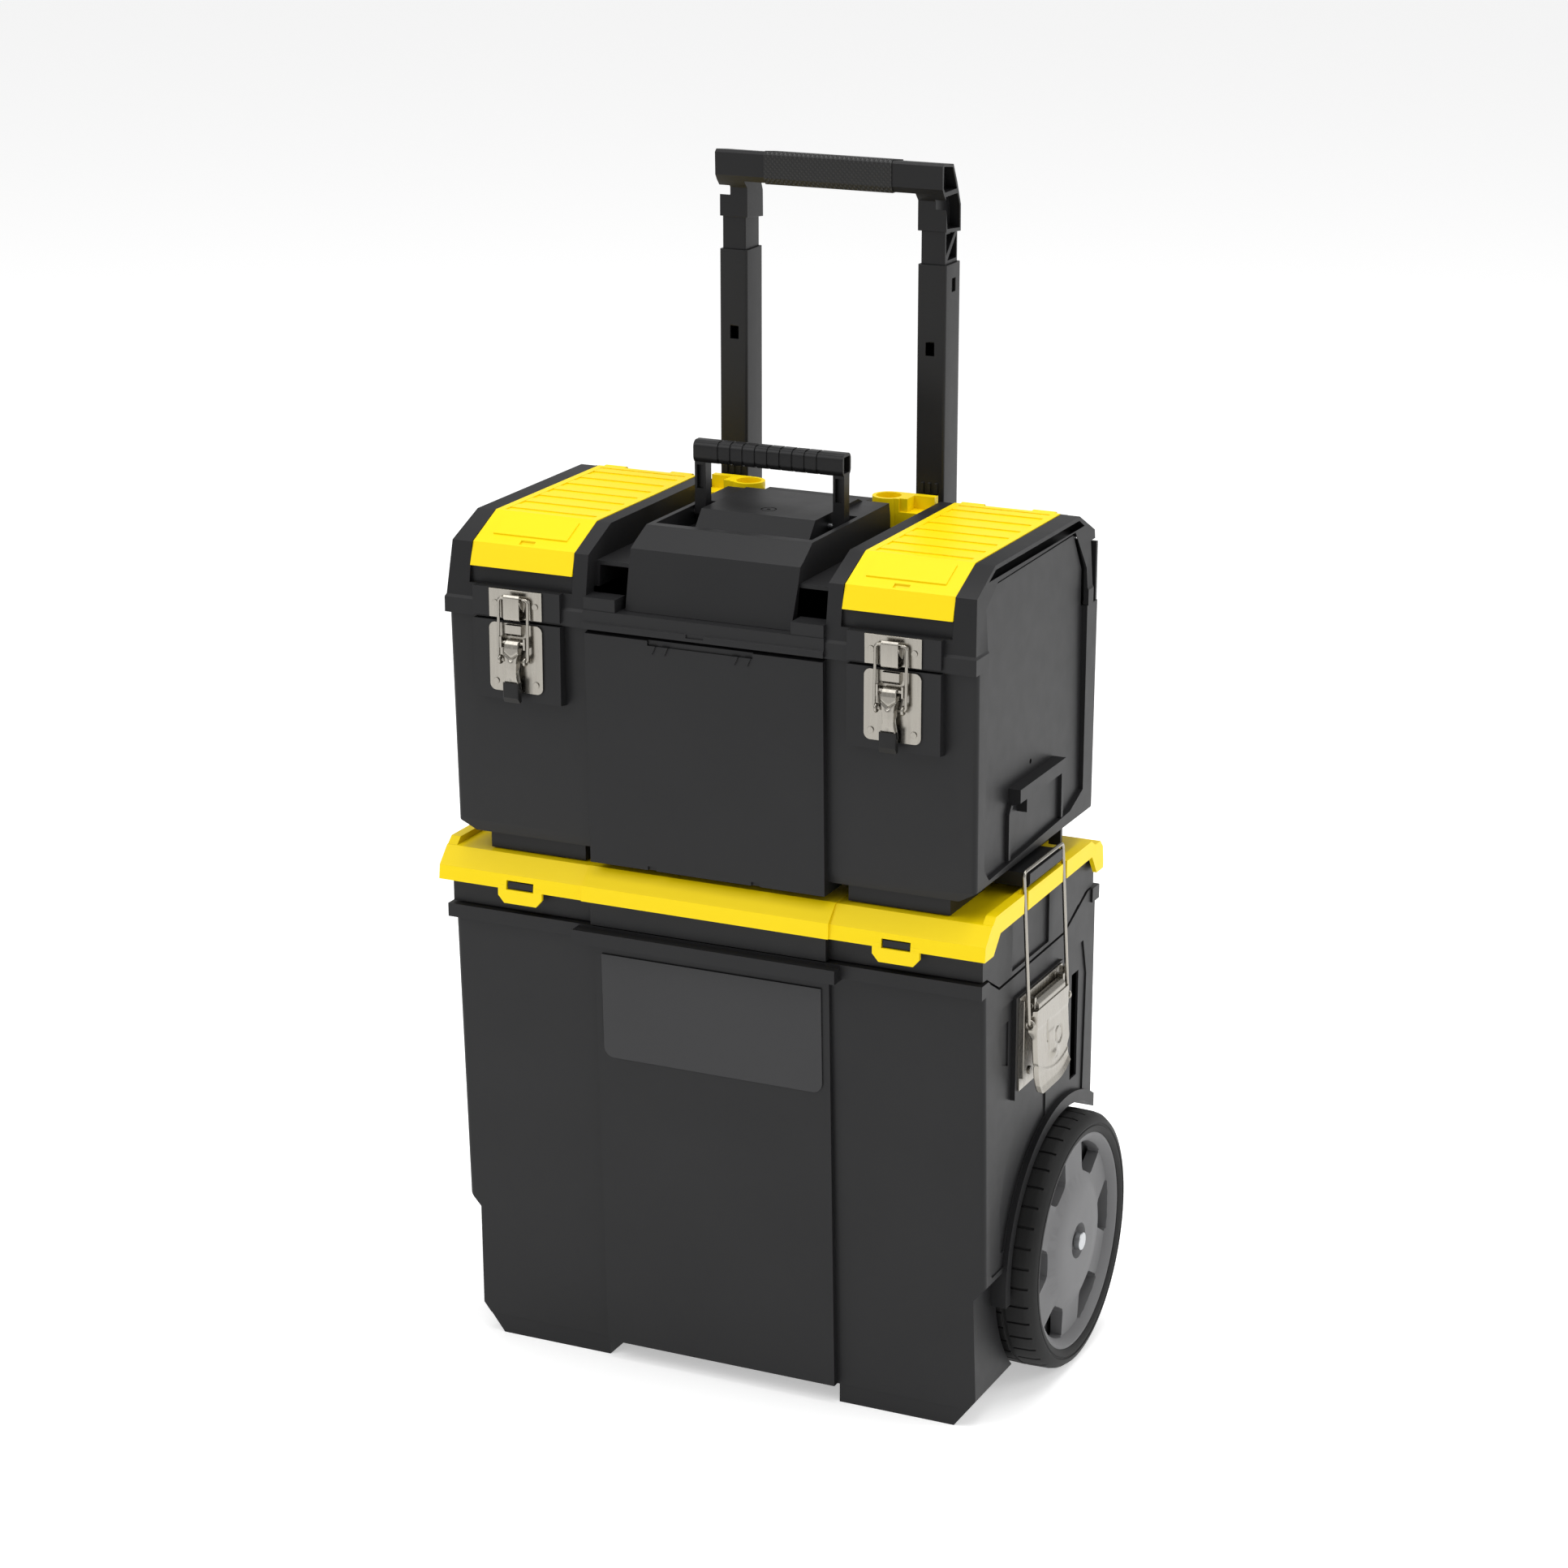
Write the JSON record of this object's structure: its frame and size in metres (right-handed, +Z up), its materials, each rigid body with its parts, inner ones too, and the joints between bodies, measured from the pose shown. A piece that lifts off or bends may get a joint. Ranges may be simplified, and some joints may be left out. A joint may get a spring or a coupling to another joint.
{
  "type": "rolling tool box",
  "caption": "Wheeled bin, storage tub and lidded tool box stacked and latched together, with small-parts organisers, a folding carry handle and a sliding pull handle behind.",
  "frame": {"origin": "on the floor, in the middle of the whole object's width and depth", "axes": "+Z up, front of the box towards -Y, +X to the right as seen from the front, along the axle"},
  "size_m": [0.473, 0.286, 0.9098],
  "materials": {
    "black_pp": "fine moulded grain",
    "yellow_pp": "satin moulded",
    "plate_grey": "smooth satin plate",
    "hub_grey": "fine moulded grain",
    "tyre_rubber": "matte",
    "soft_black": "matte soft grip",
    "handle_black": "satin moulded",
    "tube_black": "black coated, satin",
    "nickel_steel": "bright nickel plate",
    "zinc_steel": "zinc plate",
    "axle_steel": "turned, bright"
  },
  "bodies": {
    "bin": {"bin_body": "black_pp", "label_plate": "plate_grey", "wheel_axle": "axle_steel", "axle_caps": "axle_steel", "handle_guide_left": "black_pp", "handle_guide_right": "black_pp", "guide_screws": "zinc_steel", "side_latch_plate_left": "nickel_steel", "side_latch_plate_right": "nickel_steel", "side_latch_pins": "nickel_steel", "side_latch_rivets": "nickel_steel"},
    "wheel_left": {"tyre_left": "tyre_rubber", "wheel_hub_left": "hub_grey"},
    "wheel_right": {"tyre_right": "tyre_rubber", "wheel_hub_right": "hub_grey"},
    "side_lever_left": {"side_lever_left": "nickel_steel"},
    "side_lever_right": {"side_lever_right": "nickel_steel"},
    "side_bail_left": {"side_bail_left": "nickel_steel"},
    "side_bail_right": {"side_bail_right": "nickel_steel"},
    "tub": {"mid_tub": "black_pp"},
    "tub_lid": {"mid_lid": "yellow_pp"},
    "tool_box": {"top_box_body": "black_pp", "lid_hinge_pins": "zinc_steel", "handle_clip_left": "yellow_pp", "handle_clip_right": "yellow_pp", "latch_plate_left": "nickel_steel", "latch_plate_right": "nickel_steel", "latch_pins": "nickel_steel", "latch_rivets": "nickel_steel"},
    "top_lid": {"top_lid": "black_pp", "centre_cover": "black_pp", "carry_handle_pins": "zinc_steel", "strike_plate_left": "nickel_steel", "strike_plate_right": "nickel_steel", "strike_rivets": "nickel_steel", "organizer_pins": "zinc_steel"},
    "front_lever_left": {"latch_lever_left": "nickel_steel", "lever_tip_left": "soft_black"},
    "front_lever_right": {"latch_lever_right": "nickel_steel", "lever_tip_right": "soft_black"},
    "front_bail_left": {"latch_bail_left": "nickel_steel"},
    "front_bail_right": {"latch_bail_right": "nickel_steel"},
    "organizer_left": {"organizer_lid_left": "yellow_pp"},
    "organizer_right": {"organizer_lid_right": "yellow_pp"},
    "carry_handle": {"carry_handle": "handle_black"},
    "pull_handle": {"handle_tube_left": "tube_black", "handle_tube_right": "tube_black", "tube_plug_left": "black_pp", "tube_plug_right": "black_pp", "handle_grip": "handle_black", "handle_sleeve": "soft_black"}
  },
  "joints": [
    {"name": "wheel_left_spin", "type": "hinge", "parent": "bin", "child": "wheel_left", "pos_m": [-0.21, 0.043, 0.1], "axis": [1, 0, 0], "continuous": true},
    {"name": "wheel_right_spin", "type": "hinge", "parent": "bin", "child": "wheel_right", "pos_m": [0.21, 0.043, 0.1], "axis": [1, 0, 0], "continuous": true},
    {"name": "side_lever_left_swing", "type": "hinge", "parent": "bin", "child": "side_lever_left", "pos_m": [-0.224, -0.0135, 0.32], "axis": [0, 1, 0], "range_deg": [0, 85]},
    {"name": "side_lever_right_swing", "type": "hinge", "parent": "bin", "child": "side_lever_right", "pos_m": [0.224, -0.0135, 0.32], "axis": [0, -1, 0], "range_deg": [0, 85]},
    {"name": "side_bail_left_swing", "type": "hinge", "parent": "side_lever_left", "child": "side_bail_left", "pos_m": [-0.226, -0.0135, 0.307], "axis": [0, 1, 0], "range_deg": [-98, 0]},
    {"name": "side_bail_right_swing", "type": "hinge", "parent": "side_lever_right", "child": "side_bail_right", "pos_m": [0.226, -0.0135, 0.307], "axis": [0, -1, 0], "range_deg": [-98, 0]},
    {"name": "tub_lift", "type": "slide", "parent": "bin", "child": "tub", "axis": [0, 0, 1], "range_m": [0, 0.231]},
    {"name": "tub_lid_lift", "type": "slide", "parent": "tub", "child": "tub_lid", "axis": [0, 0, 1], "range_m": [0, 0.231]},
    {"name": "tool_box_lift", "type": "slide", "parent": "tub_lid", "child": "tool_box", "axis": [0, 0, 1], "range_m": [0, 0.25]},
    {"name": "top_lid_hinge", "type": "hinge", "parent": "tool_box", "child": "top_lid", "pos_m": [0, 0.109, 0.64], "axis": [-1, 0, 0], "range_deg": [0, 25]},
    {"name": "front_lever_left_swing", "type": "hinge", "parent": "tool_box", "child": "front_lever_left", "pos_m": [-0.1502, -0.1362, 0.574], "axis": [-1, 0, 0], "range_deg": [0, 120]},
    {"name": "front_lever_right_swing", "type": "hinge", "parent": "tool_box", "child": "front_lever_right", "pos_m": [0.1502, -0.1362, 0.574], "axis": [-1, 0, 0], "range_deg": [0, 120]},
    {"name": "front_bail_left_swing", "type": "hinge", "parent": "front_lever_left", "child": "front_bail_left", "pos_m": [-0.1502, -0.1376, 0.561], "axis": [-1, 0, 0], "range_deg": [-144, 0]},
    {"name": "front_bail_right_swing", "type": "hinge", "parent": "front_lever_right", "child": "front_bail_right", "pos_m": [0.1502, -0.1376, 0.561], "axis": [-1, 0, 0], "range_deg": [-144, 0]},
    {"name": "organizer_left_hinge", "type": "hinge", "parent": "top_lid", "child": "organizer_left", "pos_m": [-0.1495, 0.0822, 0.6564], "axis": [-1, 0, 0], "range_deg": [0, 100]},
    {"name": "organizer_right_hinge", "type": "hinge", "parent": "top_lid", "child": "organizer_right", "pos_m": [0.1495, 0.0822, 0.6564], "axis": [-1, 0, 0], "range_deg": [0, 100]},
    {"name": "carry_handle_fold", "type": "hinge", "parent": "top_lid", "child": "carry_handle", "pos_m": [0, -0.013, 0.655], "axis": [1, 0, 0], "range_deg": [0, 85]},
    {"name": "pull_handle_slide", "type": "slide", "parent": "bin", "child": "pull_handle", "axis": [0, 0, 1], "range_m": [-0.19, 0]}
  ],
  "couplings": [
    {"joint": "side_bail_left_swing", "follows": "side_lever_left_swing", "ratio": -1.15},
    {"joint": "side_bail_right_swing", "follows": "side_lever_right_swing", "ratio": -1.15},
    {"joint": "front_bail_left_swing", "follows": "front_lever_left_swing", "ratio": -1.2},
    {"joint": "front_bail_right_swing", "follows": "front_lever_right_swing", "ratio": -1.2}
  ]
}
